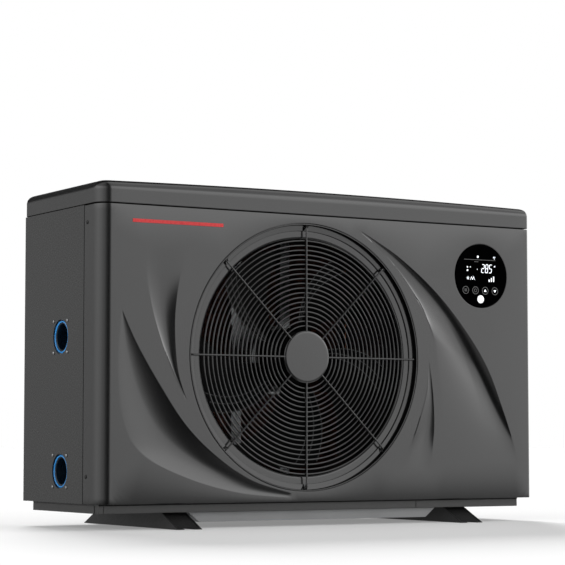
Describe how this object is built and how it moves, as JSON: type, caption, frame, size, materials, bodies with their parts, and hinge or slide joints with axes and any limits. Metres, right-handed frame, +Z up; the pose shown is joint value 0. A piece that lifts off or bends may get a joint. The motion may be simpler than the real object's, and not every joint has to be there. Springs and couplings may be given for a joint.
{
  "type": "pool heat pump unit",
  "caption": "Box-shaped outdoor pool and spa water heater with a round front fan grille, sculpted front panel, display and two side water ports.",
  "frame": {"origin": "middle of the footprint, on the ground", "axes": "+X along the cabinet's width, from the water ports to the display side; +Y from the front to the rear; +Z up"},
  "size_m": [0.9644, 0.386, 0.6306],
  "materials": {
    "anthracite_moulding": "fine satin moulded finish",
    "side_sheet": "satin powder coat",
    "plinth_paint": "satin powder coat",
    "foot_paint": "satin powder coat",
    "galvanised": "zinc-coated sheet",
    "black_plastic": "matt black",
    "rubber": "matt",
    "copper": "drawn copper tube",
    "blue_collar": "gloss moulded blue",
    "steel": "zinc-plated",
    "fin_pack": "bare fins",
    "display_black": "polished black window",
    "key_white": "satin white",
    "titanium": "drawn titanium tube",
    "board_green": "circuit board",
    "shell_grey": "moulded shell"
  },
  "bodies": {
    "root": {"top_cover": "anthracite_moulding", "front_panel": "anthracite_moulding", "fan_guard": "anthracite_moulding", "left_side_panel": "side_sheet", "right_side_panel": "side_sheet", "rear_panel": "side_sheet", "rear_guard": "side_sheet", "base_tray": "plinth_paint", "foot_left": "foot_paint", "foot_right": "foot_paint", "cross_rail_front": "galvanised", "cross_rail_rear": "galvanised", "fan_motor": "galvanised", "motor_bracket": "galvanised", "coil_end_plate_left": "galvanised", "coil_end_plate_right": "galvanised", "bay_partition_left": "galvanised", "bay_partition_right": "galvanised", "control_box": "galvanised", "terminal_cover": "black_plastic", "cable_gland": "black_plastic", "condensate_nipple": "black_plastic", "fan_shroud": "black_plastic", "compressor": "black_plastic", "suction_accumulator": "black_plastic", "water_pipe_upper": "black_plastic", "water_pipe_lower": "black_plastic", "flow_switch": "black_plastic", "display_housing": "black_plastic", "foot_plug_left_front": "rubber", "foot_plug_left_rear": "rubber", "foot_plug_right_front": "rubber", "foot_plug_right_rear": "rubber", "coil_header": "copper", "four_way_valve": "copper", "expansion_valve": "copper", "discharge_pipe": "copper", "suction_pipe": "copper", "coil_gas_pipe": "copper", "exchanger_gas_pipe": "copper", "liquid_pipe": "copper", "port_collar_upper": "blue_collar", "port_collar_lower": "blue_collar", "wrap_fixing_strip": "steel", "port_flange_upper": "steel", "port_flange_lower": "steel", "evaporator_coil": "fin_pack", "display_glass": "display_black", "titanium_coil": "titanium", "control_board": "board_green", "exchanger_shell": "shell_grey"},
    "fan": {"fan_hub": "black_plastic", "fan_blade_1": "black_plastic", "fan_blade_2": "black_plastic", "fan_blade_3": "black_plastic", "fan_blade_4": "black_plastic", "fan_blade_5": "black_plastic", "fan_shaft": "steel"},
    "power_key": {"power_key": "key_white"},
    "flow_paddle": {"flow_paddle": "steel"}
  },
  "joints": [
    {"name": "fan_spin", "type": "hinge", "parent": "root", "child": "fan", "pos_m": [-0.0446, -0.095, 0.316], "axis": [0, -1, 0], "continuous": true},
    {"name": "power_key_press", "type": "slide", "parent": "root", "child": "power_key", "axis": [0, 1, 0], "range_m": [0, 0.001], "stiffness_N_per_m": 400},
    {"name": "flow_paddle_swing", "type": "hinge", "parent": "root", "child": "flow_paddle", "pos_m": [-0.453, 0, 0.123], "axis": [0, -1, 0], "range_deg": [0, 25], "stiffness_Nm_per_rad": 0.02}
  ]
}
